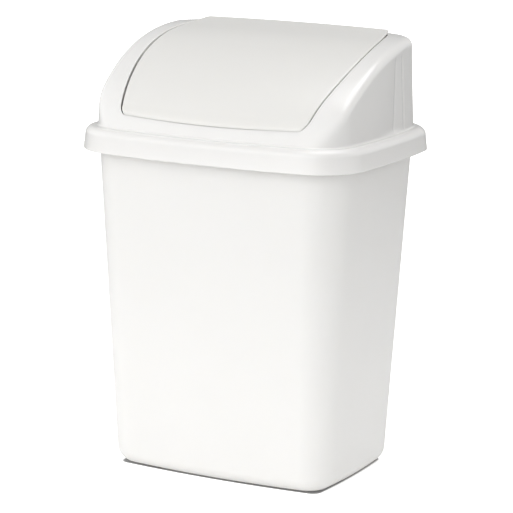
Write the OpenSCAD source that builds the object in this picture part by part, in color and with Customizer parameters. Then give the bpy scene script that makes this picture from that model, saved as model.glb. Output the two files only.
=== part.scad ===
// Small bin with a swing lid: a tapered bucket, a lift-off hood and a swing flap.
// Millimetres. X is the width, the front faces -Y and Z is up.
// The origin is on the table, under the middle of the bin.

/* [Bucket] */
// Width just under the lid, across the bowed sides
bucket_w = 187; // [176:1:200]
// Depth just under the lid, across the bowed front and back
bucket_d = 144; // [140:1:154]
// Corner radius just under the lid
bucket_r = 21; // [16:0.5:26]
// Width at the foot
foot_w = 162; // [150:1:172]
// Depth at the foot
foot_d = 115; // [106:1:126]
// Corner radius at the foot
foot_r = 15.5; // [14:0.5:20]
// Bow of each side just under the lid
side_bow = 4.8; // [3:0.2:6]
// Bow of the front and the back just under the lid
front_bow = 8.5; // [6:0.5:10]
// Bow of each side at the foot
foot_side_bow = 2.7; // [1.5:0.1:4]
// Bow of the front and the back at the foot
foot_front_bow = 4.7; // [3:0.1:6]
// Wall thickness of the bucket
bucket_wall = 1.6; // [1.2:0.1:2]
// Thickness of the bottom
floor_t = 2; // [1.5:0.1:3]
// Rounding between wall and bottom
foot_round = 10.5; // [7:0.5:12]
// Height that the bottom panel is raised above the table
foot_lift = 2; // [1:0.1:3]
// Width of the ring that the bucket stands on
foot_ring = 4; // [3:0.5:6]
// Depth of the turned-down edge of the bucket's rim
rim_drop = 7; // [5:0.5:9]

/* [Lid skirt] */
// Height of the skirt's lower edge above the table
skirt_z = 213.5; // [200:0.5:225]
// Height of the skirt, from its lower edge to the ledge on top
skirt_h = 15.2; // [14:0.2:18]
// Distance from the bucket's wall to the outside of the skirt
overhang = 9; // [8.5:0.1:10]
// Corner radius of the skirt
skirt_r = 25.5; // [22:0.5:29]
// Outward flare of the skirt towards its lower edge
skirt_flare = 1.1; // [0.6:0.1:1.3]
// Width of the rounding on the skirt's upper edge
skirt_round_w = 5.6; // [4:0.1:5.8]
// Height of the rounding on the skirt's upper edge
skirt_round_h = 5.2; // [4:0.1:6]
// Wall thickness of the hood
hood_wall = 1.6; // [1.3:0.1:1.8]

/* [Hood] */
// Distance from the outside of the skirt to the foot of the hood's walls
ledge_w = 8.7; // [8:0.1:9]
// Corner radius of the hood at the ledge
hood_r = 18; // [14:0.5:20]
// Lean of the hood's side and front walls, in degrees
hood_draft = 1.25; // [0.5:0.25:3]
// Lean of the hood's rear wall and rear corners, in degrees
rear_draft = 3.5; // [2:0.25:4]
// Height of the hood's crest above the ledge
crest_h = 59.3; // [52:0.1:64]
// Distance of the crest in front of the hood's rear wall
crest_in = 22.3; // [18:0.1:26]
// Radius of the tighter curve at the hood's nose
nose_arc = 70; // [64:1:76]
// Slope at which the two curves meet, in degrees
nose_slope = 36; // [34:0.5:38]
// Rounding of the ridge between the top and the side walls
ridge_round = 5.5; // [4:0.5:7]
// Rise of the hood and flap in the middle of their width
crown = 1; // [0.4:0.1:1.5]
// Swell of the nose in the middle of its width
nose_swell = 5.4; // [4:0.2:6]
// Cove between the hood's walls and the ledge
cove = 1.3; // [0.8:0.1:1.6]

/* [Mouth] */
// Width of each cheek beside the mouth
cheek_w = 16.2; // [14:0.1:20]
// Radius of the mouth's bowed sides, seen from above
mouth_arc = 180; // [160:5:220]
// Distance of the mouth's front edge behind the foot of the hood's front
front_band = 11.5; // [11:0.1:13.5]
// Extra dip of the mouth's front edge in the middle
mouth_dip = 1.8; // [0.8:0.1:2]
// Distance of the mouth's rear edge in front of the hood's rear wall
rear_deck = 21.3; // [19:0.1:24]
// Corner radius of the mouth
mouth_r = 5; // [4:0.5:7]
// Height of the cheeks' inner walls' lower edge above the ledge
cheek_foot_h = 11.3; // [8:0.1:16]
// Depth of the turned-down lip behind the mouth
rear_lip = 7; // [5:0.5:9]

/* [Flap] */
// Gap between flap and mouth at the sides and the back
flap_gap = 1.2; // [0.8:0.1:1.6]
// Gap between flap and mouth at the front, seen from above
nose_gap = 0.4; // [0.35:0.05:1.2]
// Thickness of the flap
flap_t = 1.5; // [1.2:0.1:1.8]
// Length of the tail that lies over the hood's rear deck
tail_lap = 5; // [4:0.5:6]
// Corner radius of the tail
tail_r = 2; // [1.5:0.1:3.5]
// Depth of the turned-down edge of the tail
tail_lip = 0.45; // [0.2:0.05:0.6]
// Length of the flap's straight run in front of the mouth's rear edge
tail_run = 24; // [21:0.5:25]
// Depth of the flange under the flap's edges
flange_h = 7; // [5:0.5:9]
// Thickness of the flange and of the pivot ears
flange_t = 1.3; // [1:0.1:1.6]
// Distance of the pivot in front of the mouth's middle
pivot_fwd = 4.1; // [0:0.1:8]
// Depth of the pivot under the flap's upper face
pivot_drop = 9; // [8:0.5:12]
// Diameter of the pivot pins
pin_d = 5.2; // [4:0.1:6]
// Clearance of a pin in its socket, all round
pin_clear = 0.06; // [0.04:0.01:0.1]
// Length of a pin outside its collar
pin_l = 5.5; // [4:0.5:6.5]

/* [Cheek dish] */
// Depth of the shallow dish in each cheek, at its foot
dish_t = 0.8; // [0.4:0.1:0.9]
// Distance of the dish's deepest line in front of the crest
dish_fwd = 38; // [34:0.5:42]
// Width of the dish's rear facet at its foot
dish_rear_w = 16; // [12:0.5:20]
// Width of the dish's rear facet at its top
dish_rear_top_w = 8; // [6:0.5:10]
// Length over which the dish fades out towards the front
dish_front_w = 34; // [24:1:40]

/* [Hidden] */
$fn = 48;

seat_gap = 0.3;      // between the lid and the bucket's rim
rim_gap = 0.5;       // between the skirt and the bucket's rim
side_play = 0.35;    // between a pin's collar and the cheek
corner_n = 8;        // steps in each corner
long_n = 11;         // places along the front and the back between corners
short_n = 9;         // places along each side between corners

ledge_z = skirt_z + skirt_h;
rim_z = ledge_z - hood_wall - seat_gap;
lid_w = bucket_w + 2 * overhang;
lid_d = bucket_d + 2 * overhang;
hood_hw = lid_w / 2 - ledge_w;
hood_hd = lid_d / 2 - ledge_w;
crest_z = ledge_z + crest_h;
crest_y = hood_hd - crest_in;
cheek_foot = ledge_z + cheek_foot_h;
mouth_hw = hood_hw - cheek_w;
mouth_front = hood_hd - front_band;
mouth_rear = hood_hd - rear_deck;
tail_y = mouth_rear + tail_lap;
tail_start = mouth_rear - tail_run;
pivot_y = (mouth_rear - mouth_front) / 2 - pivot_fwd;
dish_y = crest_y - dish_fwd;

// An outline is [width, depth, corner radius, bow of the sides, bow of the front].
FOOT = [foot_w, foot_d, foot_r, foot_side_bow, foot_front_bow];
TOP = [bucket_w, bucket_d, bucket_r, side_bow, front_bow];
SKIRT = [lid_w, lid_d, skirt_r, side_bow, front_bow];
HOOD = [2 * hood_hw, 2 * hood_hd, hood_r, side_bow, front_bow];

// A station is [u, v, angle]: u and v run from -1 to 1 along the straight stretches,
// and the angle is the direction in which the outline faces there.
function corner_u(k) = (k % 4 == 0 || k % 4 == 3) ? 1 : -1;
function corner_v(k) = (k % 4 < 2) ? 1 : -1;
function corner_stations(k) =
    [for (i = [0:corner_n]) [corner_u(k), corner_v(k), 90 * k + 90 * i / corner_n]];
function side_stations(k, n) =
    [for (i = [1:n]) let (f = i / (n + 1))
        [corner_u(k) + (corner_u(k + 1) - corner_u(k)) * f,
         corner_v(k) + (corner_v(k + 1) - corner_v(k)) * f,
         90 * k + 90]];
STATIONS = [for (k = [0:3]) each concat(
    corner_stations(k),
    side_stations(k, k % 2 == 0 ? long_n : short_n))];

function bowed(x, a, b_over_y, bow) = x + bow * (1 - b_over_y * b_over_y) * x / a;

// Point of an outline at a station, moved inwards by inset.
function outline_point(o, inset, s) =
    let (a = o[0] / 2 - o[3] - inset,
         b = o[1] / 2 - o[4] - inset,
         r = max(o[2] - inset, 1.5),
         x = s[0] * (a - r) + r * cos(s[2]),
         y = s[1] * (b - r) + r * sin(s[2]))
    [bowed(x, a, y / b, o[3]), bowed(y, b, x / a, o[4])];
function lift(p, z) = [p[0], p[1], z];
function at(o, inset, z, s) = lift(outline_point(o, inset, s), z);
function between(p, q, f) = p + (q - p) * f;

// A closed skin through sections of equal length, one per station. A ring skin joins each
// section's end to its start; otherwise the two poles close the skin. Each four-sided
// patch is split along its shorter diagonal.
module skin(sections, poles = []) {
    n = len(sections);
    m = len(sections[0]);
    ring = len(poles) == 0;
    steps = ring ? m : m - 1;
    points = concat([for (s = sections) each s], poles);
    walls = [for (i = [0:n - 1], j = [0:steps - 1])
        let (a = i * m + j,
             b = i * m + (j + 1) % m,
             c = (i + 1) % n * m + (j + 1) % m,
             d = (i + 1) % n * m + j)
        each norm(points[a] - points[c]) < norm(points[b] - points[d]) + 0.001
            ? [[a, b, c], [a, c, d]]
            : [[a, b, d], [b, c, d]]];
    ends = ring ? [] : [for (i = [0:n - 1])
        let (k = (i + 1) % n)
        each [[n * m, i * m, k * m], [n * m + 1, k * m + m - 1, i * m + m - 1]]];
    polyhedron(points = points, faces = concat(walls, ends));
}

// ---- Bucket ----

function bucket_outline(z) = between(FOOT, TOP, z / skirt_z);
function wall_at(inset, z, s) = at(bucket_outline(z), inset, z, s);

// The rim is an inverted U: out over the wall, then down inside the skirt.
rim_inset = skirt_flare + hood_wall + rim_gap;
round_in_w = skirt_round_w - hood_wall;
round_in_h = skirt_round_h - hood_wall;

function bucket_section(s) =
    let (ring_in = foot_round + foot_ring,
         inner = foot_round - bucket_wall,
         floor_z = foot_lift + floor_t)
    concat(
        [wall_at(ring_in + 1.5, foot_lift, s),
         wall_at(ring_in, 0, s)],
        [for (a = [0:18:90])
            wall_at(foot_round * (1 - sin(a)), foot_round * (1 - cos(a)), s)],
        [wall_at(0, skirt_z / 2, s),
         wall_at(0, rim_z - 3.4, s),
         wall_at(-1, rim_z - 2, s),
         at(SKIRT, rim_inset + 3, rim_z - bucket_wall, s),
         at(SKIRT, rim_inset + bucket_wall, rim_z - 3, s),
         at(SKIRT, rim_inset + bucket_wall - 0.2, rim_z - rim_drop, s),
         at(SKIRT, rim_inset - 0.1, rim_z - rim_drop, s)],
        [for (a = [0:30:90])
            at(SKIRT, rim_inset + round_in_w * (1 - cos(a)),
               rim_z - round_in_h * (1 - sin(a)), s)],
        [for (a = [30:30:90])
            wall_at(bucket_wall - 1.4 + 1.4 * sin(a), rim_z - 1.4 * (1 - cos(a)), s)],
        [wall_at(bucket_wall, skirt_z / 2, s)],
        [for (a = [90:-22.5:0])
            wall_at(bucket_wall + inner * (1 - sin(a)), floor_z + inner * (1 - cos(a)), s)]);

module bucket() {
    color("#f4f4f2")
        skin([for (s = STATIONS) bucket_section(s)],
             [[0, 0, foot_lift], [0, 0, foot_lift + floor_t]]);
}

// ---- Shape of the hood's and flap's upper faces ----

// In the middle of the width the nose stands out by this factor
front_swell = 1 + nose_swell / mouth_front;

// The long upper curve runs from the crest to the nose curve, and its radius is the one
// that brings the nose down to the ledge at the foot of the hood's front.
nose_rise = 1 - cos(nose_slope);
nose_run = sin(nose_slope);
foot_dz = ledge_z - 0.7 - crest_z + nose_arc;
foot_dy = -hood_hd / front_swell - crest_y;
half_sum = foot_dz * nose_rise + foot_dy * nose_run;
square_sum = nose_rise * nose_rise + nose_run * nose_run;
rest_sum = foot_dz * foot_dz + foot_dy * foot_dy - nose_arc * nose_arc;
root_sum = sqrt(half_sum * half_sum - square_sum * rest_sum);
crest_arc = nose_arc - (half_sum + root_sum) / square_sum;
crest_cz = crest_z - crest_arc;
nose_y = crest_y - crest_arc * sin(nose_slope);
nose_cy = crest_y - (crest_arc - nose_arc) * sin(nose_slope);
nose_cz = crest_cz + (crest_arc - nose_arc) * cos(nose_slope);

function arc_side(r, d) = sqrt(max(r * r - d * d, 1));
function profile_z(y) =
    y > nose_y ? crest_cz + arc_side(crest_arc, y - crest_y)
               : nose_cz + arc_side(nose_arc, y - nose_cy);
// Vertical thickness of a sloping sheet of thickness 1
function profile_steep(y) =
    y > nose_y ? crest_arc / arc_side(crest_arc, y - crest_y)
               : nose_arc / arc_side(nose_arc, y - nose_cy);
function swell(x) = 1 + (front_swell - 1) * (1 - pow(x / mouth_hw, 2));
function unswell_y(x, y) = y < 0 ? y / swell(x) : y;
function crown_z(x) = crown * (1 - pow(x / mouth_hw, 2));
function top_z(p) = profile_z(unswell_y(p[0], p[1])) + crown_z(p[0]);
function steep(p) = profile_steep(unswell_y(p[0], p[1]));

// The flap follows the same curve and then runs on straight over the rear deck.
tail_slope = (crest_y - tail_start) / arc_side(crest_arc, crest_y - tail_start);
function flap_z(p) =
    p[1] > tail_start
        ? profile_z(tail_start) + tail_slope * (p[1] - tail_start) + crown_z(p[0])
        : top_z(p);
function flap_steep(p) = p[1] > tail_start ? 1 : steep(p);

// Point of a panel with bowed sides and a swollen front, seen from above. Front and rear
// are distances from the middle of the bin.
function panel_point(hw, front, rear, r, s) =
    let (yc = (rear - front) / 2,
         hb = (rear + front) / 2,
         x0 = s[0] * (hw - r) + r * cos(s[2]),
         y0 = yc + s[1] * (hb - r) + r * sin(s[2]),
         x = x0 * (1 - y0 * y0 / (2 * mouth_arc * mouth_hw)),
         dip = mouth_dip * (1 - pow(x / mouth_hw, 2)) * max(0, -y0 / mouth_front),
         y = y0 - dip)
    [x, y < 0 ? y * swell(x) : y];
function mouth_point(grow, s) =
    panel_point(mouth_hw + grow, mouth_front + grow, mouth_rear + grow, mouth_r + grow, s);

// ---- Hood ----

function facing_front(s) = max(0, -sin(s[2]));
function facing_back(s) = max(0, sin(s[2]));

function wall_draft(s) =
    hood_draft + (rear_draft - hood_draft) * min(1, 2 * facing_back(s));

// Upper corner of the hood's wall, before it is rounded
function ridge_inset(s) =
    let (h = max(top_z(outline_point(HOOD, 0, s)) - ledge_z, 0))
    0.3 + h * tan(wall_draft(s)) + 1.3 * max(0, 2 * facing_front(s) - 1);
function ridge_point(s, more) =
    let (p = outline_point(HOOD, ridge_inset(s) + more, s))
    lift(p, max(top_z(p), ledge_z + cove + 1));

// Round a corner: from a point towards the foot, by way of the corner, to the top
function rounded(foot, corner, top, n) =
    [for (i = [0:n]) let (t = i / n)
        foot * pow(1 - t, 2) + corner * 2 * t * (1 - t) + top * pow(t, 2)];
function toward(p, q, d) = p + (q - p) * d / norm(q - p);
function on_top(p) = lift(p, top_z(p));
function under_top(p) = lift(p, top_z(p) - hood_wall * steep(p));
function flat(p) = [p[0], p[1]];

function hood_section(s) =
    let (
        // outside: skirt, ledge, wall, ridge, band, edge of the mouth
        foot = at(HOOD, 0.1, ledge_z + cove, s),
        ridge = ridge_point(s, 0),
        mouth = mouth_point(0, s),
        wall_h = ridge[2] - foot[2],
        band = norm(flat(ridge) - mouth),
        leg_w = min(ridge_round, 0.7 * wall_h),
        leg_t = min(ridge_round * 1.15, 0.42 * band),
        turn = min(1, 0.3 * band),
        wall_end = toward(ridge, foot, leg_w),
        band_start = toward(flat(ridge), mouth, leg_t),
        band_end = toward(mouth, flat(ridge), turn),
        // inside: lip or cheek wall, underside of the band, ridge, wall, ledge, skirt
        front = facing_front(s),
        back = facing_back(s),
        lip_t = hood_wall * (1 - 0.78 * front),
        lip_out = mouth_point(lip_t, s),
        root_z = under_top(lip_out)[2],
        side_drop = max(root_z - cheek_foot, 0.2),
        drop = side_drop * (1 - max(front, back)) + 0.2 * front + rear_lip * back,
        in_foot = at(HOOD, hood_wall * (1 - 0.1 * front), ledge_z - hood_wall + 0.2, s),
        in_flat = outline_point(HOOD, ridge_inset(s) + hood_wall * (1 - 0.8 * front), s),
        in_ridge = lift(in_flat, max(under_top(in_flat)[2], in_foot[2] + 0.3)),
        in_h = in_ridge[2] - in_foot[2],
        in_band = norm(in_flat - lip_out),
        in_wall_end = toward(in_ridge, in_foot, min(ridge_round * 0.75, 0.6 * in_h)),
        in_start = toward(in_flat, lip_out, min(ridge_round * 0.85, 0.42 * in_band)))
    concat(
        [at(SKIRT, 0, skirt_z, s)],
        [for (a = [0:22.5:90])
            at(SKIRT, skirt_flare + skirt_round_w * (1 - cos(a)),
               ledge_z - skirt_round_h * (1 - sin(a)), s)],
        [at(HOOD, -cove, ledge_z, s),
         at(HOOD, -cove * 0.3, ledge_z + cove * 0.3, s),
         foot],
        rounded(wall_end, ridge, on_top(band_start), 5),
        [on_top(between(band_start, band_end, 0.5)),
         on_top(band_end),
         lift(between(band_end, mouth, 0.7), top_z(band_end) - turn * 0.3),
         lift(mouth, top_z(mouth) - turn)],
        [lift(mouth, root_z - drop),
         lift(lip_out, root_z - drop),
         lift(lip_out, root_z)],
        [under_top(between(lip_out, in_start, 0.6))],
        rounded(under_top(in_start), in_ridge, in_wall_end, 3),
        [in_foot,
         at(HOOD, hood_wall - cove - 0.4, ledge_z - hood_wall, s)],
        [for (a = [90:-30:0])
            at(SKIRT, skirt_flare + hood_wall + round_in_w * (1 - cos(a)),
               ledge_z - hood_wall - round_in_h * (1 - sin(a)), s)],
        [at(SKIRT, hood_wall, skirt_z, s)]);

pivot_z = flap_z([0, pivot_y]) - crown_z(0) - pivot_drop;
// Half width of the mouth beside the pivot
pivot_hw = mouth_hw - pivot_y * pivot_y / (2 * mouth_arc);
collar_d = pin_d + 3.6;
collar_x = pivot_hw - side_play;
socket_d = pin_d + 4.4;

module along_x(d, x0, x1) {
    translate([x0, pivot_y, pivot_z])
        rotate([0, 90, 0])
            cylinder(d = d, h = x1 - x0);
}

// The dish sinks gently from the front to its deepest line, and a steeper facet
// leads back out behind it. It is shallower and narrower at the top.
module dish_cutter() {
    foot = ledge_z + cove + 0.6;
    top = top_z([hood_hw, dish_y]) - ridge_round - 2;
    b = hood_hd - front_bow;
    function wall(y, z, d) =
        [hood_hw - side_bow * pow(y / b, 2) - (z - ledge_z) * tan(hood_draft) - 0.3 - d, y, z];
    low = [for (i = [0:4]) let (f = i / 4)
        wall(dish_y - dish_front_w * (1 - f), foot, dish_t * f * f)];
    high = [for (i = [0:4]) let (f = i / 4)
        wall(dish_y + 3 - dish_front_w * 0.3 * (1 - f), top, dish_t * 0.5 * f * f)];
    low_end = wall(dish_y + dish_rear_w, foot, 0);
    high_end = wall(dish_y + 3 + dish_rear_top_w, top, 0);
    out = [hood_hw + 2, dish_y, foot];
    out_top = [hood_hw + 2, dish_y, top];
    n = 6;
    inner = concat(low, [low_end], high, [high_end]);
    faces = concat(
        [for (i = [0:n - 2]) each [[i, i + 1, n + i + 1], [i, n + i + 1, n + i]]],
        [for (i = [0:n - 2]) [2 * n, i + 1, i]],
        [for (i = [0:n - 2]) [2 * n + 1, n + i, n + i + 1]],
        [[2 * n, 0, n], [2 * n, n, 2 * n + 1],
         [2 * n, 2 * n + 1, 2 * n - 1], [2 * n, 2 * n - 1, n - 1]]);
    polyhedron(points = concat(inner, [out, out_top]), faces = faces);
}

module both_sides() {
    children();
    mirror([1, 0, 0]) children();
}

module hood() {
    color("#f2f2ef")
    difference() {
        union() {
            skin([for (s = STATIONS) hood_section(s)]);
            both_sides() along_x(socket_d, pivot_hw + hood_wall / 2, pivot_hw + pin_l + 2);
        }
        both_sides() along_x(pin_d + 2 * pin_clear, pivot_hw - 4, pivot_hw + pin_l + 0.6);
        both_sides() dish_cutter();
    }
}

// ---- Flap ----

function flap_r(s) = between(mouth_r - flap_gap, tail_r, (s[1] + 1) / 2);
function flap_point(inset, rear_inset, s) =
    panel_point(mouth_hw - flap_gap - inset, mouth_front - nose_gap - inset,
                tail_y - rear_inset, max(flap_r(s) - inset, 1), s);
function flap_disc(f, s) =
    let (mid = (tail_y - mouth_front) / 2,
         rear = mid + f * (tail_y - mid),
         front = -mid + f * (mouth_front - nose_gap + mid))
    panel_point(f * (mouth_hw - flap_gap), front, rear, f * flap_r(s), s);
function on_flap(p, d) = lift(p, flap_z(p) - d);
function under_flap(p, d) = lift(p, flap_z(p) - flap_t * flap_steep(p) - d);

// The flange runs under the mouth's edge, so the tail stands out behind it.
function flap_section(s) =
    let (front = facing_front(s),
         back = facing_back(s),
         roll = 0.7 + 0.9 * front,
         flange = 0.8 + (s[1] == 1 ? tail_lap + flap_gap : 0),
         drop = flange_h * (1 - 0.6 * front))
    concat(
        [for (f = [0.15, 0.35, 0.55, 0.74, 0.86]) under_flap(flap_disc(f, s), 0)],
        [under_flap(flap_point(1.4 + flange_t, flange + 0.6 + flange_t, s), 0),
         under_flap(flap_point(1.1 + flange_t, flange + 0.3 + flange_t, s), drop),
         under_flap(flap_point(1.1, flange + 0.3, s), drop),
         under_flap(flap_point(0.8, flange, s), 0),
         under_flap(flap_point(0.6, 0.6 + 1.6 * back, s), 0),
         under_flap(flap_point(0.4, 0.4 + 0.9 * back, s), tail_lip * back),
         under_flap(flap_point(0.2, 0.2, s), tail_lip * back - 0.2),
         on_flap(flap_point(0, 0, s), roll * 0.8),
         on_flap(flap_point(roll * 0.3, roll * 0.3, s), roll * 0.25),
         on_flap(flap_point(roll, roll, s), 0)],
        [for (f = [0.9, 0.74, 0.55, 0.35, 0.15]) on_flap(flap_disc(f, s), 0)]);

// The ear hangs from the flap and carries the pin, its collar and the pin's root.
module ear() {
    half = 7;
    x = collar_x - 1.2 - flange_t;
    top = [for (y = [-half:half / 4:half])
        [pivot_y + y, flap_z([x, pivot_y + y]) - flap_t * 0.5]];
    foot = [for (a = [0:-20:-180])
        [pivot_y + half * cos(a), pivot_z + half * 0.85 * sin(a)]];
    translate([x, 0, 0])
        rotate([90, 0, 90])
            linear_extrude(flange_t)
                polygon(concat(top, foot));
    along_x(collar_d, x + flange_t / 2, collar_x);
    along_x(pin_d, x + flange_t / 2, pivot_hw + pin_l);
}

module flap() {
    mid = (tail_y - mouth_front) / 2;
    color("#e9e9e6")
    union() {
        skin([for (s = STATIONS) flap_section(s)],
             [under_flap([0, mid], 0), on_flap([0, mid], 0)]);
        both_sides() ear();
    }
}

bucket();
hood();
flap();
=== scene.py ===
"""A small swing-lid bin in white plastic: bucket, lift-off hood and swing flap.

The three moulded pieces are worked out as fine surfaces, and each stands for its solid.
The large sizes are the CAD source's. The small ones under "Details" differ from it or are
only here. Sizes are in millimetres until a mesh is made.
"""

import math

import bpy
import numpy as np
from mathutils import Matrix


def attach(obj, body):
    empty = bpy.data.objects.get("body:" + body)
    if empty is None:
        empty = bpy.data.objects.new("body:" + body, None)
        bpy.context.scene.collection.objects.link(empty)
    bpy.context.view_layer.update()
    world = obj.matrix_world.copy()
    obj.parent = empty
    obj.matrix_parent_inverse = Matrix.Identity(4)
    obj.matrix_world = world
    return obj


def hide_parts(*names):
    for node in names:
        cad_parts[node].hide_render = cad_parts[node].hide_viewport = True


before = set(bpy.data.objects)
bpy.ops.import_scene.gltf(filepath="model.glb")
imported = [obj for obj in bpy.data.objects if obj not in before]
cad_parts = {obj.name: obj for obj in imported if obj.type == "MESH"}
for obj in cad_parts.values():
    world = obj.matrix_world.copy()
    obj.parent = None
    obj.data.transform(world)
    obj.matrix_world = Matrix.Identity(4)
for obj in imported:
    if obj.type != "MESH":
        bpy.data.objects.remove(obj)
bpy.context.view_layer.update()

MM = 0.001

# ---- Sizes, as in the CAD source ----

SKIRT_Z, SKIRT_H = 213.5, 15.2
LEDGE_Z = SKIRT_Z + SKIRT_H
OVERHANG = 9.0
LEDGE_W = 8.7
FLARE = 1.1
ROUND_W, ROUND_H = 5.6, 5.2
HOOD_WALL = 1.6
BUCKET_WALL = 1.6
FLOOR_T = 2.0
FOOT_ROUND, FOOT_LIFT, FOOT_RING = 10.5, 2.0, 4.0
RIM_DROP = 7.0
SEAT_GAP, RIM_GAP = 0.3, 0.5
RIM_Z = LEDGE_Z - HOOD_WALL - SEAT_GAP

# An outline is width, depth, corner radius, bow of the sides, bow of front and back.
FOOT = np.array([162.0, 115.0, 15.5, 2.7, 4.7])
TOP = np.array([187.0, 144.0, 21.0, 4.8, 8.5])
LID_W, LID_D = TOP[0] + 2 * OVERHANG, TOP[1] + 2 * OVERHANG
SKIRT = np.array([LID_W, LID_D, 25.5, 4.8, 8.5])
HOOD = np.array([LID_W - 2 * LEDGE_W, LID_D - 2 * LEDGE_W, 18.0, 4.8, 8.5])
SIDE_DRAFT, REAR_DRAFT = math.tan(math.radians(1.25)), math.tan(math.radians(3.5))
COVE = 1.3
RIDGE_ROUND = 5.5

CREST_Z, CREST_Y, CREST_ARC = 288.0, 50.0, 158.027
NOSE_ARC, NOSE_SLOPE = 70.0, math.radians(36)
CROWN, NOSE_SWELL = 1.0, 5.4
MOUTH_HW, MOUTH_ARC = 77.6, 180.0
MOUTH_FRONT, MOUTH_REAR, MOUTH_DIP, MOUTH_R = 60.8, 51.0, 1.8, 5.0
CHEEK_FOOT, REAR_LIP = 240.0, 7.0

FLAP_GAP, FLAP_T = 1.2, 1.5
TAIL_LAP, TAIL_LIP, TAIL_START, TAIL_R = 5.0, 0.45, 27.0, 2.0
TAIL_Y = MOUTH_REAR + TAIL_LAP
FLANGE_H, FLANGE_T = 7.0, 1.3
PIVOT_Y, PIVOT_DROP = -9.0, 9.0
PIN_D, PIN_CLEAR, PIN_L, SIDE_PLAY = 5.2, 0.06, 5.5, 0.35
DISH_T, DISH_FRONT = 0.8, 34.0

# ---- Details, which differ from the CAD source or are only here ----

# The flap's front edge nearly touches the hood. In front of the tail its face lies deeper
# than the hood's by SINK, from SINK_LEAD behind TAIL_START and over SINK_RUN.
NOSE_GAP = 0.1
SINK, SINK_LEAD, SINK_RUN = 0.2, 5.0, 45.0
# The front lip rises upright by LIP over LIP_W, and is rounded with LIP_R. The flap's other
# edges are rounded with EDGE_R.
LIP, LIP_W, LIP_R, EDGE_R = 1.4, 5.0, 4.5, 1.0
# The flap lies a little to the right within the side play of its pins.
FLAP_SHIFT = 0.25
# The deepest line of the cheek's dish, the width of its rear facet at foot and top, and the
# depth and width of the crease along each edge of that facet.
DISH_Y, DISH_REAR, DISH_REAR_TOP = 14.0, 16.5, 10.0
CREASE_T, CREASE_W = 0.6, 0.9


# ---- Stations and outlines ----


class Stations:
    """Places round an outline: u and v run from -1 to 1 along the straight stretches, and
    the angle says which way the outline faces there. Corners come first and last."""

    def __init__(self, corner_n, long_n, short_n):
        self.corner_n, self.long_n, self.short_n = corner_n, long_n, short_n
        turn = np.linspace(0, 90, corner_n + 1)
        u, v, a = [], [], []
        signs = [(1, 1), (-1, 1), (-1, -1), (1, -1), (1, 1)]
        for k in range(4):
            (u0, v0), (u1, v1) = signs[k], signs[k + 1]
            n = long_n if k % 2 == 0 else short_n
            f = np.arange(1, n + 1) / (n + 1)
            u += [np.full(corner_n + 1, u0), u0 + (u1 - u0) * f]
            v += [np.full(corner_n + 1, v0), v0 + (v1 - v0) * f]
            a += [turn + 90 * k, np.full(n, 90.0 * k + 90)]
        self.u, self.v = np.concatenate(u), np.concatenate(v)
        a = np.radians(np.concatenate(a))
        self.cos, self.sin = np.cos(a), np.sin(a)
        self.front, self.back = np.maximum(0, -self.sin), np.maximum(0, self.sin)

    def __len__(self):
        return len(self.u)


def outline(shape, inset, st):
    """Rounded rectangle whose sides bow out: x + bow * (1 - (y/b)^2) * x/a, and the same
    for y, with a and b the half sizes at the corners. Inset moves it inwards."""
    width, depth, radius, bow_x, bow_y = shape
    a, b = width / 2 - bow_x - inset, depth / 2 - bow_y - inset
    r = np.maximum(radius - inset, 1.5)
    x, y = st.u * (a - r) + r * st.cos, st.v * (b - r) + r * st.sin
    bowed_x = x + bow_x * (1 - (y / b) ** 2) * x / a
    bowed_y = y + bow_y * (1 - (x / a) ** 2) * y / b
    return np.stack([bowed_x, bowed_y], -1)


def lift(xy, z):
    """Points seen from above, given their heights."""
    return np.concatenate([xy, np.broadcast_to(z, xy.shape[:-1])[..., None]], -1)


def col(values):
    """One number per station, as a column that multiplies points."""
    return np.asarray(values)[..., None]


# ---- Upper faces of hood and flap ----

CREST_CZ = CREST_Z - CREST_ARC
NOSE_Y = CREST_Y - CREST_ARC * math.sin(NOSE_SLOPE)
NOSE_CY = CREST_Y - (CREST_ARC - NOSE_ARC) * math.sin(NOSE_SLOPE)
NOSE_CZ = CREST_CZ + (CREST_ARC - NOSE_ARC) * math.cos(NOSE_SLOPE)


def arc_side(r, d):
    """Height of a circle of radius r above its middle, at the distance d from it."""
    return np.sqrt(np.maximum(r * r - d * d, 0.0))


def profile_z(y):
    """Side view of the top: a long arc about the crest and a tighter one at the nose."""
    return np.where(
        y > NOSE_Y,
        CREST_CZ + arc_side(CREST_ARC, y - CREST_Y),
        NOSE_CZ + arc_side(NOSE_ARC, y - NOSE_CY),
    )


def profile_steep(y):
    """Length along the side view for each millimetre of y, which is 1 / cos(slope)."""
    return np.where(
        y > NOSE_Y,
        CREST_ARC / arc_side(CREST_ARC, y - CREST_Y),
        NOSE_ARC / arc_side(NOSE_ARC, y - NOSE_CY),
    )


def swell(x):
    """How far the nose swells forwards at x, as a factor on y."""
    return 1 + NOSE_SWELL / MOUTH_FRONT * (1 - (x / MOUTH_HW) ** 2)


def unswell(xy):
    """The y at which the side view gives the height of a place on the swollen nose."""
    x, y = xy[..., 0], xy[..., 1]
    return np.where(y < 0, y / swell(x), y)


def crown_z(x):
    """How far the top bulges up at x: CROWN * (1 - (x / half width)^2)."""
    return CROWN * (1 - (x / MOUTH_HW) ** 2)


def top_z(xy):
    """Height of the hood's top, seen from above."""
    return profile_z(unswell(xy)) + crown_z(xy[..., 0])


TAIL_Z = float(profile_z(np.array(TAIL_START)))
TAIL_SLOPE = (CREST_Y - TAIL_START) / float(arc_side(CREST_ARC, CREST_Y - TAIL_START))


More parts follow.
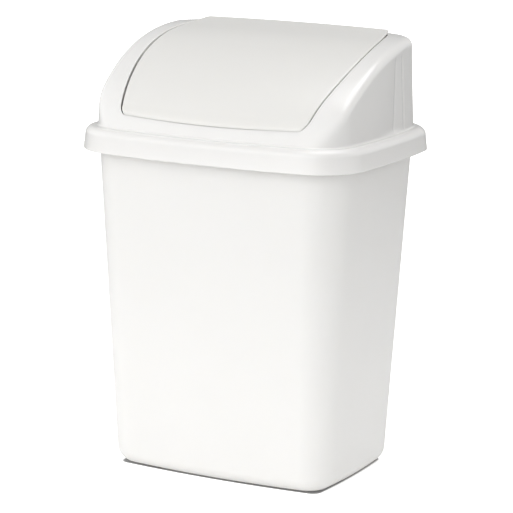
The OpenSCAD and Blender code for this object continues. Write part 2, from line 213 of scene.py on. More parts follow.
def flap_z(xy):
    """The same top, but running on straight behind the start of the tail. In front of the
    tail it lies a little deeper, by SINK * s^2 * (3 - 2 s) with s going from 0 to 1."""
    y = xy[..., 1]
    straight = TAIL_Z + TAIL_SLOPE * (y - TAIL_START) + crown_z(xy[..., 0])
    s = np.clip((TAIL_START + SINK_LEAD - y) / SINK_RUN, 0, 1)
    return np.where(y > TAIL_START, straight, top_z(xy)) - SINK * s * s * (3 - 2 * s)


def flap_normal(xy):
    """Upward unit normal of the flap's face, from the slopes of flap_z."""
    step = 0.05
    dx, dy = np.array([step, 0]), np.array([0, step])
    gx = (flap_z(xy + dx) - flap_z(xy - dx)) / (2 * step)
    gy = (flap_z(xy + dy) - flap_z(xy - dy)) / (2 * step)
    n = np.stack([-gx, -gy, np.ones_like(gx)], -1)
    return n / np.linalg.norm(n, axis=-1, keepdims=True)


def panel(x0, v, sin, front, rear, r):
    """Panel with bowed sides and a swollen front, seen from above. The sides follow
    x0 * (1 - y0^2 / (2 * arc * half width)), and the front dips and swells in the
    middle."""
    y0 = (rear - front) / 2 + v * ((rear + front) / 2 - r) + r * sin
    x = x0 * (1 - y0 * y0 / (2 * MOUTH_ARC * MOUTH_HW))
    dip = MOUTH_DIP * (1 - (x / MOUTH_HW) ** 2) * np.maximum(0, -y0 / MOUTH_FRONT)
    y = y0 - dip
    return np.stack([x, np.where(y < 0, y * swell(x), y)], -1)


def panel_ring(st, hw, front, rear, r):
    """The panel's edge, with rounded corners of radius r."""
    return panel(st.u * (hw - r) + r * st.cos, st.v, st.sin, front, rear, r)


def mouth(grow, st):
    """Edge of the hood's mouth, grown outwards."""
    return panel_ring(
        st, MOUTH_HW + grow, MOUTH_FRONT + grow, MOUTH_REAR + grow, MOUTH_R + grow
    )


# ---- Meshes ----

# Edges that turn by more degrees than this stay sharp.
SHARP, FLAP_SHARP = 32, 40


class Surface:
    """Collects grids of points, in millimetres, and welds them into one mesh."""

    def __init__(self):
        self.points, self.quads, self.count = [], [], 0

    def grid(self, p, ring=False, loop=False, flip=False):
        """Quads between neighbouring rows and columns of p. With ring the last column
        joins the first, and with loop the last row joins the first."""
        rows, columns = p.shape[:2]
        index = np.arange(rows * columns).reshape(rows, columns) + self.count
        if ring:
            index = np.hstack([index, index[:, :1]])
        if loop:
            index = np.vstack([index, index[:1]])
        quad = np.stack(
            [index[:-1, :-1], index[:-1, 1:], index[1:, 1:], index[1:, :-1]], -1
        ).reshape(-1, 4)
        self.points.append(p.reshape(-1, 3))
        self.quads.append(quad[:, ::-1] if flip else quad)
        self.count += rows * columns

    def fan(self, ring_points, centre, flip=False):
        """Closes a ring with triangles that meet at its centre."""
        ring_of_centres = np.broadcast_to(centre, ring_points.shape)
        self.grid(np.stack([ring_points, ring_of_centres]), ring=True, flip=flip)

    def build(self, name, sharp=SHARP):
        """Welds points that agree to 0.0001 mm, and drops or trims quads that collapse."""
        points, quads = np.concatenate(self.points), np.concatenate(self.quads)
        _, first, same = np.unique(
            np.round(points, 4), axis=0, return_index=True, return_inverse=True
        )
        quads = same.reshape(-1)[quads]
        points = points[first]
        merged = quads == np.roll(quads, -1, axis=1)
        whole = quads[merged.sum(1) == 0]
        three = merged.sum(1) == 1
        kept = quads[three][~merged[three]].reshape(-1, 3)
        mesh = bpy.data.meshes.new(name)
        mesh.from_pydata((points * MM).tolist(), [], whole.tolist() + kept.tolist())
        mesh.validate()
        smooth(mesh, sharp)
        piece = bpy.data.objects.new(name, mesh)
        bpy.context.scene.collection.objects.link(piece)
        return piece


def smooth(mesh, sharp):
    """Smooth shading, with edges sharper than the given angle left sharp."""
    mesh.polygons.foreach_set("use_smooth", np.ones(len(mesh.polygons), bool))
    mesh.set_sharp_from_angle(angle=math.radians(sharp))
    mesh.update()


def combine(piece, other, operation, sharp=SHARP):
    """Joins another closed form to the piece, or cuts it out, for good."""
    change = piece.modifiers.new(operation.lower(), "BOOLEAN")
    change.operation, change.object, change.solver = operation, other, "EXACT"
    bpy.context.view_layer.update()
    graph = bpy.context.evaluated_depsgraph_get()
    made = bpy.data.meshes.new_from_object(piece.evaluated_get(graph))
    old = piece.data
    piece.modifiers.clear()
    piece.data = made
    made.name = piece.name
    bpy.data.meshes.remove(old)
    bpy.data.meshes.remove(other.data)
    smooth(made, sharp)


def quarter(n):
    """Angles of a quarter turn."""
    return np.linspace(0, math.pi / 2, n)


def blend(p, q, f):
    """The point at the share f of the way from p to q."""
    return p + (q - p) * f


def toward(p, q, d):
    """The point at the distance d from p on the way to q."""
    gap = np.linalg.norm(q - p, axis=-1, keepdims=True)
    return p + (q - p) * col(d) / gap


def bend(foot, corner, top, n):
    """Rounds a corner: a quadratic curve from foot by way of corner to top."""
    t = np.linspace(0, 1, n)[:, None, None]
    return list(foot * (1 - t) ** 2 + corner * 2 * t * (1 - t) + top * t**2)


# ---- Bucket ----


def make_bucket():
    """Profile carried round the outline: foot ring, rounded foot, straight tapering wall,
    rim turned out and down, then back down inside to the floor."""
    st = Stations(16, 40, 30)

    def wall(inset, z):
        return lift(outline(FOOT + (TOP - FOOT) * z / SKIRT_Z, inset, st), z)

    def rim(inset, z):
        return lift(outline(SKIRT, inset, st), z)

    ring_in, inner = FOOT_ROUND + FOOT_RING, FOOT_ROUND - BUCKET_WALL
    floor_z = FOOT_LIFT + FLOOR_T
    edge = FLARE + HOOD_WALL + RIM_GAP
    round_w, round_h = ROUND_W - HOOD_WALL, ROUND_H - HOOD_WALL
    # The wall turns out from neck below the top, and the roll starts at crook below it.
    neck, crook, turn_w, turn_h, edge_r = 4.2, 3.6, 1.4, 2.0, 1.4
    ring_edge = ((2.4, 2.0), (1.5, 1.85), (0.9, 1.3), (0.5, 0.3), (0.0, 0.0))
    rows = [wall(ring_in + d, z) for d, z in ring_edge]
    rows += [
        wall(FOOT_ROUND * (1 - math.sin(a)), FOOT_ROUND * (1 - math.cos(a)))
        for a in quarter(16)
    ]
    rows += [wall(0, z) for z in np.linspace(FOOT_ROUND, RIM_Z - neck, 26)[1:]]
    rows += [
        wall(-(1 - math.cos(a)) * turn_w, RIM_Z - neck + turn_h * math.sin(a))
        for a in quarter(6)[1:]
    ]
    under = edge + BUCKET_WALL
    rows += [
        rim(
            under + turn_w * (1 - math.sin(a)) + 0.3,
            RIM_Z - crook + turn_h * math.cos(a),
        )
        for a in quarter(6)
    ]
    low = RIM_Z - RIM_DROP
    rows += [rim(under, low + 0.4), rim(under - 0.3, low), rim(edge + 0.3, low)]
    rows += [rim(edge, low + 0.4)]
    rows += [
        rim(edge + round_w * (1 - math.cos(a)), RIM_Z - round_h * (1 - math.sin(a)))
        for a in quarter(10)
    ]
    rows += [
        wall(
            BUCKET_WALL - edge_r + edge_r * math.sin(a),
            RIM_Z - edge_r * (1 - math.cos(a)),
        )
        for a in quarter(7)
    ]
    rows += [
        wall(BUCKET_WALL, z)
        for z in np.linspace(RIM_Z - edge_r, floor_z + inner, 26)[1:-1]
    ]
    rows += [
        wall(BUCKET_WALL + inner * (1 - math.sin(a)), floor_z + inner * (1 - math.cos(a)))
        for a in quarter(14)[::-1]
    ]
    shell = Surface()
    shell.grid(np.stack(rows), ring=True)
    shell.fan(rows[0], [0, 0, FOOT_LIFT], flip=True)
    shell.fan(rows[-1], [0, 0, floor_z])
    return shell.build("bucket_moulding")


# ---- Pivot ----

PIVOT_HW = MOUTH_HW - PIVOT_Y**2 / (2 * MOUTH_ARC)
PIVOT_Z = float(top_z(np.array([0.0, PIVOT_Y]))) - CROWN - PIVOT_DROP
COLLAR_D = PIN_D + 3.6
COLLAR_X = PIVOT_HW - SIDE_PLAY
BOSS_D = PIN_D + 4.4
BEVEL, PIN_BEVEL = 0.3, 0.6
# Half the width of the ear, how flat its round foot is, and the plane of its outer face.
EAR_HALF, EAR_FLAT = 7.0, 0.85
EAR_X = COLLAR_X - 1.2


def rod(diameter, x0, x1, sign, bevel=BEVEL):
    """Round bar along the pivot's axis with bevelled ends: a profile turned about it."""
    r = diameter / 2
    xs = np.array([x0, x0, x0 + bevel, x1 - bevel, x1, x1])
    rs = np.array([0, r - bevel, r, r, r - bevel, 0])
    a = np.linspace(0, 2 * math.pi, 49)[:-1]
    y = PIVOT_Y + rs[:, None] * np.cos(a)
    z = PIVOT_Z + rs[:, None] * np.sin(a)
    x = np.broadcast_to(sign * xs[:, None], y.shape)
    bar = Surface()
    bar.grid(np.stack([x, y, z], -1), ring=True, flip=sign < 0)
    return bar.build("rod")


# ---- Hood ----


def dish_depth(y, z, top):
    """Depth of the cheek's dish: it grows as a square towards the deepest line, then falls
    off evenly across the rear facet. Towards the top it gets shallower and narrower. A
    fine crease runs along each edge of the facet, deep as exp(-(distance / width)^2)."""
    foot = LEDGE_Z + COVE + 0.6
    h = np.clip((z - foot) / (top - foot), 0, 1)
    deepest = DISH_Y + 3 * h
    rear = DISH_REAR + (DISH_REAR_TOP - DISH_REAR) * h
    front = DISH_FRONT * (1 - 0.7 * h)
    before = np.clip((y - deepest + front) / front, 0, 1) ** 2
    behind = np.clip((deepest + rear - y) / rear, 0, 1)
    ends = np.clip((z - foot + 0.8) / 0.8, 0, 1) * np.clip((top + 2 - z) / 2, 0, 1)
    dish = DISH_T * (1 - 0.5 * h) * np.where(y < deepest, before, behind)
    for line, share in ((deepest, 0.5), (deepest + rear, 1.0)):
        dish = dish + CREASE_T * share * np.exp(-(((y - line) / CREASE_W) ** 2))
    return dish * ends


def make_hood():
    """Closed profile at each station: skirt, ledge, wall, ridge and band outside, then the
    edge of the mouth, the cheek's inner wall or lip, and back along the inside."""
    st = Stations(16, 64, 136)
    front, back = st.front, st.back

    def at(shape, inset, z):
        return lift(outline(shape, inset, st), z)

    def on_top(xy):
        return lift(xy, top_z(xy))

    def under_top(xy):
        return lift(xy, top_z(xy) - HOOD_WALL * profile_steep(unswell(xy)))

    draft = SIDE_DRAFT + (REAR_DRAFT - SIDE_DRAFT) * np.minimum(1, 2 * back)
    height = np.maximum(top_z(outline(HOOD, 0, st)) - LEDGE_Z, 0)
    ridge_in = 0.3 + height * draft + 1.3 * np.maximum(0, 2 * front - 1)
    ridge_xy = outline(HOOD, ridge_in, st)
    ridge = lift(ridge_xy, np.maximum(top_z(ridge_xy), LEDGE_Z + COVE + 1))
    foot = at(HOOD, 0.1, LEDGE_Z + COVE)
    lip = mouth(0, st)
    wall_h = ridge[:, 2] - foot[:, 2]
    band = np.linalg.norm(ridge_xy - lip, axis=-1)
    turn = np.minimum(0.8 - 0.6 * front, 0.3 * band)
    wall_end = toward(ridge, foot, np.minimum(RIDGE_ROUND, 0.7 * wall_h))
    band_start = toward(ridge_xy, lip, np.minimum(RIDGE_ROUND * 1.15, 0.42 * band))
    band_end = toward(lip, ridge_xy, turn)

    lip_t = HOOD_WALL * (1 - 0.78 * front)
    lip_out = mouth(lip_t, st)
    root_z = under_top(lip_out)[:, 2]
    side_drop = np.maximum(root_z - CHEEK_FOOT, 0.2)
    drop = side_drop * (1 - np.maximum(front, back)) + 0.2 * front + REAR_LIP * back
    in_foot = at(HOOD, HOOD_WALL * (1 - 0.1 * front), LEDGE_Z - HOOD_WALL + 0.2)
    in_xy = outline(HOOD, ridge_in + HOOD_WALL * (1 - 0.8 * front), st)
    in_z = np.maximum(under_top(in_xy)[:, 2], in_foot[:, 2] + 0.3)
    in_ridge = lift(in_xy, in_z)
    in_h = in_ridge[:, 2] - in_foot[:, 2]
    in_band = np.linalg.norm(in_xy - lip_out, axis=-1)
    in_wall = toward(in_ridge, in_foot, np.minimum(RIDGE_ROUND * 0.75, 0.6 * in_h))
    in_start = toward(in_xy, lip_out, np.minimum(RIDGE_ROUND * 0.85, 0.42 * in_band))

    rows = [at(SKIRT, d, SKIRT_Z + z) for d, z in ((0.15, 0.15), (0.0, 0.5), (0.06, 0.9))]
    rows += [
        at(
            SKIRT,
            FLARE + ROUND_W * (1 - math.cos(a)),
            LEDGE_Z - ROUND_H * (1 - math.sin(a)),
        )
        for a in quarter(14)
    ]
    first = len(rows)
    rows += [
        at(HOOD, 0.1 - COVE * 1.1 * (1 - math.sin(a)), LEDGE_Z + COVE * (1 - math.cos(a)))
        for a in quarter(8)
    ]
    rows += [blend(foot, wall_end, f) for f in np.linspace(0, 1, 26)[1:-1]]
    rows += bend(wall_end, ridge, on_top(band_start), 14)
    last = len(rows)
    rows += [on_top(blend(band_start, band_end, f)) for f in (0.25, 0.5, 0.75)]
    for a in quarter(7):
        edge_xy = blend(band_end, lip, math.sin(a))
        rows.append(lift(edge_xy, top_z(edge_xy) - turn * (1 - math.cos(a))))
    depth = root_z - drop
    tip = 0.35 * (1 - 0.7 * front)
    rows += [lift(lip, depth + tip), lift(blend(lip, lip_out, 0.3), depth)]
    rows += [lift(blend(lip, lip_out, 0.7), depth), lift(lip_out, depth + tip)]
    rows += [lift(lip_out, root_z)]
    rows += [under_top(blend(lip_out, in_start, 0.6))]
    rows += bend(under_top(in_start), in_ridge, in_wall, 8)
    rows += [blend(in_wall, in_foot, f) for f in (0.25, 0.5, 0.75, 1.0)]
    round_w, round_h = ROUND_W - HOOD_WALL, ROUND_H - HOOD_WALL
    rows += [at(HOOD, HOOD_WALL - COVE - 0.4, LEDGE_Z - HOOD_WALL)]
    rows += [
        at(
            SKIRT,
            FLARE + HOOD_WALL + round_w * (1 - math.cos(a)),
            LEDGE_Z - HOOD_WALL - round_h * (1 - math.sin(a)),
        )
        for a in quarter(8)[::-1]
    ]
    rows += [at(SKIRT, HOOD_WALL, SKIRT_Z + 0.5), at(SKIRT, HOOD_WALL - 0.4, SKIRT_Z)]
    rows += [at(SKIRT, 0.5, SKIRT_Z)]
    points = np.stack(rows)

    # The dish is pressed into the outer wall and the start of the ridge.
    outside = points[first:last]
    side = np.abs(st.cos) > 0.95
    top = top_z(np.array([HOOD[0] / 2, DISH_Y])) - RIDGE_ROUND - 2
    depth = dish_depth(outside[..., 1], outside[..., 2], top) * side
    outside[..., 0] -= np.sign(outside[..., 0]) * depth

    shell = Surface()
    shell.grid(points, ring=True, loop=True)
    piece = shell.build("hood_moulding")
    for sign in (1, -1):
        boss = rod(BOSS_D, PIVOT_HW + 0.8, PIVOT_HW + PIN_L + 2, sign)
        combine(piece, boss, "UNION")
        bore = rod(PIN_D + 2 * PIN_CLEAR, PIVOT_HW - 4, PIVOT_HW + PIN_L + 0.6, sign)
        combine(piece, bore, "DIFFERENCE")
    return piece


# ---- Flap ----


def ear(sign):
    """Plate that hangs from the flap: its top follows the middle of the flap's thickness,
    and its foot is half round. It is carried across its thickness with a small bevel."""
    inner_x = EAR_X - FLANGE_T
    along = np.linspace(-EAR_HALF, EAR_HALF, 11)
    under = np.stack([np.full_like(along, inner_x), PIVOT_Y + along], -1)
    a = np.linspace(0, -math.pi, 25)
    y = np.concatenate([along, EAR_HALF * np.cos(a)])
    top = flap_z(under) - FLAP_T * 0.6 - PIVOT_Z
    z = np.concatenate([top, EAR_HALF * EAR_FLAT * np.sin(a)])
    rows = [(inner_x, 0), (inner_x, 0.96), (EAR_X - 1.1, 1)]
    rows += [(EAR_X - 0.2, 1), (EAR_X, 0.96), (EAR_X, 0)]
    points = np.stack(
        [
            np.stack(
                [np.full_like(y, sign * x), PIVOT_Y + y * s, PIVOT_Z + z * s], -1
            )
            for x, s in rows
        ]
    )
    plate = Surface()
    plate.grid(points, ring=True, flip=sign > 0)
    return plate.build("ear")


def make_flap():
    """The face is a grid of rows and columns on flap_z. Loops round its edge roll it over,
    drop the flange, and lead to the underside, the same grid one thickness down."""
    st = Stations(12, 72, 84)
    front, back = st.front, st.back

    def corner_r(v, inset):
        """Corner radius, which runs from the front corners' to the tail's."""
        return np.maximum(blend(MOUTH_R - FLAP_GAP, TAIL_R, (v + 1) / 2) - inset, 1)

    def ring(inset, rear_inset, depth):
        """The panel's edge moved inwards, and moved down along the face's normal."""
        xy = panel_ring(
            st,
            MOUTH_HW - FLAP_GAP - inset,
            MOUTH_FRONT - NOSE_GAP - inset,
            TAIL_Y - rear_inset,
            corner_r(st.v, inset),
        )
        return lift(xy, flap_z(xy)) - flap_normal(xy) * col(depth)

    def face(inset, rear_inset, depth):
        """Rows along y and columns along x that fill the panel inside that edge."""
        turn = np.linspace(0, math.pi / 2, st.corner_n + 1)
        n = st.short_n
        between = -1 + 2 * np.arange(1, n + 1) / (n + 1)
        v = np.concatenate([-np.ones(len(turn)), between, np.ones(len(turn))])
        cos = np.concatenate([np.sin(turn), np.ones(n), np.cos(turn)])
        sin = np.concatenate([-np.cos(turn), np.zeros(n), np.sin(turn)])
        r = corner_r(v, inset)
        half_widths = MOUTH_HW - FLAP_GAP - inset - r * (1 - cos)
        xy = panel(
            half_widths[:, None] * np.linspace(-1, 1, st.long_n + 2),
            v[:, None],
            sin[:, None],
            MOUTH_FRONT - NOSE_GAP - inset,
            TAIL_Y - rear_inset,
            r[:, None],
        )
        return lift(xy, flap_z(xy)) - flap_normal(xy) * depth

    radius = EDGE_R + (LIP_R - EDGE_R) * front**2
    outer, inner = ring(0, 0, 0), ring(0.5, 0.5, 0)
    run = np.linalg.norm((inner - outer)[:, :2], axis=-1)
    steep = np.maximum(0, (inner - outer)[:, 2] / run)
    reach = radius * (1 - np.sin(np.arctan(steep)))

    def rolled(inset):
        """The edge seen from above, with its height on a circle that leaves the face at
        its own slope and ends upright. The lip rises to the front as a smooth step."""
        across = radius - np.minimum(inset, reach)
        fall = arc_side(radius, radius - reach) - arc_side(radius, across)
        s = 1 - inset / LIP_W
        rise = LIP * front * s * s * (3 - 2 * s)
        points = ring(inset, inset, 0)
        points[:, 2] += rise - fall + steep * np.maximum(reach - inset, 0)
        return points

    rows = [rolled(i) for i in LIP_W * (1 - np.sin(quarter(13)))]
    edge_t = FLAP_T + 1.6 * front + TAIL_LIP * back
    rows += [ring(0.0, 0.0, edge_t - 0.3)]
    rows += [ring(0.1, 0.1, edge_t - 0.08), ring(0.3, 0.3, edge_t)]
    rows += [ring(0.4, 0.4 + 0.9 * back, edge_t)]
    rows += [ring(0.6, 0.6 + 1.6 * back, FLAP_T + 1.6 * front)]
    flange = 0.8 + TAIL_LAP + FLAP_GAP
    drop = FLAP_T + FLANGE_H * (1 - 0.55 * front)
    rows += [ring(0.8, flange, FLAP_T + 1.6 * front), ring(1.0, flange + 0.2, drop - 0.3)]
    rows += [ring(1.25, flange + 0.45, drop)]
    rows += [ring(0.85 + FLANGE_T, flange + 0.05 + FLANGE_T, drop)]
    rows += [ring(1.1 + FLANGE_T, flange + 0.3 + FLANGE_T, drop - 0.3)]
    end, end_rear = 1.4 + FLANGE_T, flange + 0.6 + FLANGE_T
    rows += [ring(end, end_rear, FLAP_T + 0.3), ring(end + 0.3, end_rear + 0.3, FLAP_T)]
    shell = Surface()
    shell.grid(np.stack(rows), ring=True, flip=True)
    shell.grid(face(LIP_W, LIP_W, 0.0))
    shell.grid(face(end + 0.3, end_rear + 0.3, FLAP_T), flip=True)
    piece = shell.build("flap_moulding", FLAP_SHARP)
    x0 = EAR_X - FLANGE_T / 2
    for sign in (1, -1):
        combine(piece, ear(sign), "UNION", FLAP_SHARP)
        combine(piece, rod(COLLAR_D, x0, COLLAR_X, sign), "UNION", FLAP_SHARP)
        pin = rod(PIN_D, x0, PIVOT_HW + PIN_L, sign, PIN_BEVEL)
        combine(piece, pin, "UNION", FLAP_SHARP)
    piece.data.transform(Matrix.Translation((FLAP_SHIFT * MM, 0, 0)))
    return piece


# ---- Materials ----


class Wire:
    """A socket of a material's nodes. Arithmetic on it adds Math nodes."""

    def __init__(self, graph, socket):
        self.graph, self.socket = graph, socket

    def __add__(self, other):
        return self.graph.math("ADD", self, other)

    def __mul__(self, other):
        return self.graph.math("MULTIPLY", self, other)

    def __sub__(self, other):
        return self.graph.math("SUBTRACT", self, other)

    __radd__ = __add__


class Graph:
    """The node tree of a material or of the world."""

    def __init__(self, name, kind=bpy.data.materials):
        self.owner = kind.new(name)
        self.owner.use_nodes = True
        self.tree = self.owner.node_tree
        self.tree.nodes.clear()

    def node(self, kind, settings=None, *values, out=0, **named):
        """Adds a node: its settings first, then its sockets by place or by name."""
        made = self.tree.nodes.new(kind)
        for key, value in (settings or {}).items():
            setattr(made, key, value)
        for key, value in [*enumerate(values), *named.items()]:
            socket = made.inputs[key.replace("_", " ") if isinstance(key, str) else key]
            if isinstance(value, Wire):
                self.tree.links.new(value.socket, socket)
            else:
                socket.default_value = value
        return Wire(self, made.outputs[out] if made.outputs else None)

    def math(self, operation, *values):
        return self.node("ShaderNodeMath", {"operation": operation}, *values)

    def parts(self, vector):
        """The three numbers of a vector."""
        outputs = self.node("ShaderNodeSeparateXYZ", None, vector).socket.node.outputs
        return [Wire(self, outputs[k]) for k in "XYZ"]

    def colours(self, factor, first, last):
        """Mixes two colours. A colour mix has its sockets at places 0, 6 and 7."""
        mixed = self.node("ShaderNodeMix", {"data_type": "RGBA"}, factor, out=2)
        inputs = mixed.socket.node.inputs
        inputs[6].default_value, inputs[7].default_value = (*first, 1), (*last, 1)
        return mixed


def plastic(name, light, deep, rough, coat):
    """Moulded white plastic: two near whites in broad soft clouds, a fine even grain in the
    gloss, and the faint ripple of a polished mould in the normal."""
    g = Graph(name)
    place = g.node("ShaderNodeTexCoord", out="Object")
    cloud = g.node("ShaderNodeTexNoise", None, Vector=place, Scale=14.0, Detail=2.0)
    grain = g.node("ShaderNodeTexNoise", None, Vector=place, Scale=1400.0, Detail=1.0)
    ripple = g.node("ShaderNodeTexNoise", None, Vector=place, Scale=160.0, Detail=1.0)
    colour = g.colours(cloud, light, deep)
    gloss = rough + (cloud - 0.5) * 0.08 + (grain - 0.5) * 0.05
    height = ripple * 0.7 + grain * 0.3
    normal = g.node("ShaderNodeBump", None, Strength=0.06, Distance=0.0004, Height=height)
    shader = g.node(
        "ShaderNodeBsdfPrincipled",
        None,
        Base_Color=colour,
        Roughness=gloss,
        Normal=normal,
        IOR=1.49,
        Coat_Weight=coat,
        Coat_Roughness=0.2,
        Subsurface_Weight=0.2,
        Subsurface_Radius=(1.0, 0.95, 0.85),
        Subsurface_Scale=4 * MM,
    )
    g.node("ShaderNodeOutputMaterial", None, Surface=shader)
    return g.owner


# ---- Stage, light and camera ----

# Half the width of the stage's sheets, in metres.
SHEET_HALF = 30.0
# The floor, which only the camera sees, is white and shines. Under the bin's rounded foot a
# contact shadow is painted on it:
# its colour is dark and it doesn't shine, as far as FLOOR_NEAR beyond where the foot
# stands, and it is fully white from FLOOR_FAR on.
FLOOR_GLOW, FLOOR_NEAR, FLOOR_FAR = 0.75, 4.0, 7.0
FLOOR_PAINTED_SHADOW, FLOOR_WHITE = (0.3, 0.3, 0.3), (0.86, 0.86, 0.86)
# The reflector is white and shines near the bin, and fades between these distances in
# metres. Its middle lies forward of the bin's by BOUNCE_SHIFT.
BOUNCE_NEAR, BOUNCE_FAR, BOUNCE_SHIFT, BOUNCE_DROP = 0.3, 1.2, 0.1, 0.5
BOUNCE_WHITE, BOUNCE_GREY = (0.85, 0.85, 0.85), (0.3, 0.3, 0.3)
# The glow, the powers of the soft boxes and OVERHEAD were fitted to the brightness of the
# photograph's flat areas by least squares, and rounded.
BOUNCE_GLOW = 0.06
SOFT_BOXES = {
    "left": ((-1, 0, 0.1), 1.18),
    "front_left": ((-0.7, -0.7, 0.3), 0.62),
    "front": ((0, -1, 0.2), 2.4),
    "right": ((1, 0, 0.1), 0.73),
    "rear_right": ((0.7, 0.7, 0.2), 0.87),
    "rear": ((0, 1, 0.3), 0.4),
}
OVERHEAD = 0.39
# The power of the boxes' falloff, and the lamp's width in degrees and place in metres.
BOX_FALLOFF = 4.0
OVERHEAD_SPREAD, OVERHEAD_PLACE = 42, (0.12, 0.45, 2.9)

# The camera's azimuth, elevation and roll in degrees. The rest is in pixels of the picture,
# which are PIXEL millimetres long at the bin: the picture's width, the focal length, and
# the aim to the right, upwards and over the table.
VIEW = (27.8, 11.95, 0.89)
PICTURE_W, FOCAL, PIXEL = 513, 2501.4, 0.66525
AIM_RIGHT, AIM_UP, AIM_Z = 2.5, 20.29, 190.0
SENSOR_W = 36.0


def add(name, data, matrix=None):
    """Puts an object with this data into the scene."""
    thing = bpy.data.objects.new(name, data)
    if matrix is not None:
        thing.matrix_world = matrix
    bpy.context.scene.collection.objects.link(thing)
    return thing


def sheet(name, z):
    """Wide flat sheet of the stage, and the graph of its paper."""
    mesh = bpy.data.meshes.new(name)
    turns = ((-1, -1), (1, -1), (1, 1), (-1, 1))
    corners = [(x * SHEET_HALF, y * SHEET_HALF, z) for x, y in turns]
    mesh.from_pydata(corners, [], [(0, 1, 2, 3)])
    g = Graph(name + "_paper")
    mesh.materials.append(g.owner)
    stage = add(name, mesh)
    return stage, g


def ramp(g, value, low, high):
    """Smooth step from 0 at the low value to 1 at the high one."""
    smooth_step = {"interpolation_type": "SMOOTHSTEP"}
    return g.node("ShaderNodeMapRange", smooth_step, value, low, high)


def make_floor():
    """Wide pale floor that only the camera sees. It shines, so that it stays white beside
    the bin. Under the rounded foot a contact shadow is painted on it, with dark colour and
    no glow, where the dark contact line shows. The distance is measured from where the foot
    stands."""
    floor, g = sheet("floor", 0.0)
    place = g.node("ShaderNodeTexCoord", out="Object")
    mottle = g.node("ShaderNodeTexNoise", None, Vector=place, Scale=3.0)
    x, y = g.parts(place)[:2]
    half_x, half_y = FOOT[0] / 2 * MM, FOOT[1] / 2 * MM
    bow_x = y * y * (FOOT[3] * MM / half_y**2)
    bow_y = x * x * (FOOT[4] * MM / half_x**2)
    core = FOOT_ROUND * MM
    out_x = g.math("MAXIMUM", g.math("ABSOLUTE", x) + bow_x - (half_x - core), 0.0)
    out_y = g.math("MAXIMUM", g.math("ABSOLUTE", y) + bow_y - (half_y - core), 0.0)
    away = g.math("SQRT", out_x * out_x + out_y * out_y)
    # Painted contact shadow: near the foot the floor's colour is dark and it doesn't glow,
    # fading to white and full glow by FLOOR_FAR.
    clear = ramp(g, away, FLOOR_NEAR * MM, FLOOR_FAR * MM)
    shader = g.node(
        "ShaderNodeBsdfPrincipled",
        None,
        Base_Color=g.colours(clear, FLOOR_PAINTED_SHADOW, FLOOR_WHITE),
        Roughness=0.8 + mottle * 0.1,
        Emission_Color=g.colours(clear, (0, 0, 0), (1, 1, 1)),
        Emission_Strength=FLOOR_GLOW,
        Specular_IOR_Level=0.2,
    )
    g.node("ShaderNodeOutputMaterial", None, Surface=shader)
    floor.visible_diffuse = floor.visible_glossy = floor.visible_shadow = False


def make_bounce():
    """Reflector that lies under the floor, hidden from the camera, and gives the bin its
    light from below: white round the bin and grey farther off."""
    card, g = sheet("bounce", -BOUNCE_DROP * MM)
    x, y = g.parts(g.node("ShaderNodeTexCoord", out="Object"))[:2]
    y = y + BOUNCE_SHIFT
    far = ramp(g, g.math("SQRT", x * x + y * y), BOUNCE_NEAR, BOUNCE_FAR)
    shader = g.node(
        "ShaderNodeBsdfPrincipled",
        None,
        Base_Color=g.colours(far, BOUNCE_WHITE, BOUNCE_GREY),
        Roughness=0.9,
        Emission_Color=g.colours(far, (1, 1, 1), (0, 0, 0)),
        Emission_Strength=BOUNCE_GLOW,
        Specular_IOR_Level=0.2,
    )
    g.node("ShaderNodeOutputMaterial", None, Surface=shader)
    card.visible_camera = False


def aimed(place, target, up=(0, 0, 1)):
    """Matrix of a light or camera at a place that looks at a target."""
    place, target = np.array(place, float), np.array(target, float)
    back = (place - target) / np.linalg.norm(place - target)
    right = np.cross(up, back)
    right /= np.linalg.norm(right)
    above = np.cross(back, right)
    return placed(place, right, above, back)


def placed(place, right, above, back):
    """Matrix from a place and the three directions of a light or camera."""
    rows = np.eye(4)
    rows[:3, 0], rows[:3, 1], rows[:3, 2], rows[:3, 3] = right, above, back, place
    return Matrix(rows.tolist())


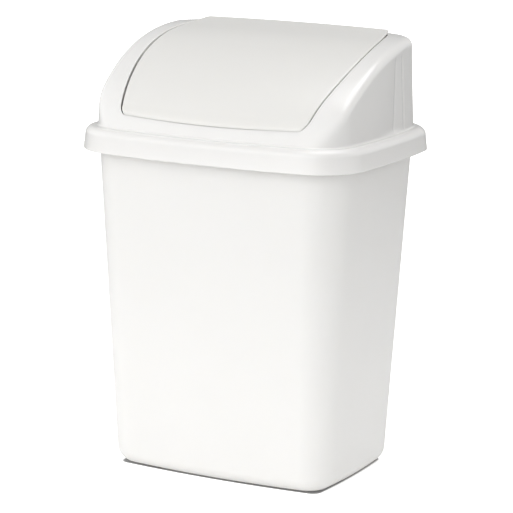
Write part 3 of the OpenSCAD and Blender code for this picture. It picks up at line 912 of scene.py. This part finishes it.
def make_camera():
    """The photograph's view: turned round the bin and above level, with a slight roll.
    The aim is the point that falls in the middle of the picture."""
    azimuth, elevation, roll = (math.radians(x) for x in VIEW)
    forward = np.array(
        [
            -math.sin(azimuth) * math.cos(elevation),
            math.cos(azimuth) * math.cos(elevation),
            -math.sin(elevation),
        ]
    )
    level = np.array([math.cos(azimuth), math.sin(azimuth), 0])
    upright = np.cross(level, forward)
    right = level * math.cos(roll) + upright * math.sin(roll)
    above = upright * math.cos(roll) - level * math.sin(roll)
    aim = np.array([0, 0, AIM_Z])
    place = aim - FOCAL * forward + AIM_RIGHT * right + AIM_UP * above
    lens = bpy.data.cameras.new("camera")
    lens.sensor_width, lens.lens = SENSOR_W, SENSOR_W * FOCAL / PICTURE_W
    lens.clip_start, lens.clip_end = 0.05, 100
    camera = add("camera", lens, placed(place * (PIXEL * MM), right, above, -forward))
    bpy.context.scene.camera = camera


def make_light():
    """A round studio of wide soft boxes and one soft lamp overhead. A box shines from its
    side as power * max(0, direction . side)^4, so that it has no edge."""
    g = Graph("studio", bpy.data.worlds)
    direction = g.node("ShaderNodeTexCoord", out="Generated")
    strength = 0.0
    for side, power in SOFT_BOXES.values():
        unit = tuple(np.array(side) / np.linalg.norm(side))
        towards = {"operation": "DOT_PRODUCT"}
        facing = g.node("ShaderNodeVectorMath", towards, direction, unit, out="Value")
        shine = g.math("POWER", g.math("MAXIMUM", facing, 0.0), BOX_FALLOFF)
        strength = shine * power + strength
    tent = g.node("ShaderNodeBackground", None, Color=(1, 1, 1, 1), Strength=strength)
    g.node("ShaderNodeOutputWorld", None, Surface=tent)
    bpy.context.scene.world = g.owner
    lamp = bpy.data.lights.new("overhead", "SUN")
    lamp.angle, lamp.energy = math.radians(OVERHEAD_SPREAD), OVERHEAD * math.pi
    add("overhead", lamp, aimed(OVERHEAD_PLACE, (0, 0, 0)))
    view = bpy.context.scene.view_settings
    view.view_transform, view.look = "Standard", "None"


# ---- The scene ----

# Node, maker, body and material slot of each piece.
PIECES = [
    ("bucket", make_bucket, "bucket", "bucket_plastic"),
    ("hood", make_hood, "lid", "lid_plastic"),
    ("flap", make_flap, "flap", "flap_plastic"),
]
# Lighter and deeper colour, roughness and coat of each slot's plastic.
FINISH = {
    "bucket_plastic": ((0.92, 0.91, 0.885), (0.895, 0.884, 0.858), 0.36, 0.1),
    "lid_plastic": ((0.87, 0.86, 0.84), (0.85, 0.84, 0.82), 0.25, 0.5),
    "flap_plastic": ((0.83, 0.82, 0.79), (0.805, 0.795, 0.765), 0.3, 0.3),
}
finish = {slot: plastic(slot, *values) for slot, values in FINISH.items()}

for node, make, body, slot in PIECES:
    piece = make()
    piece.data.materials.clear()
    piece.data.materials.append(finish[slot])
    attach(piece, body)
    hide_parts(node)

make_floor()
make_bounce()
make_light()
make_camera()
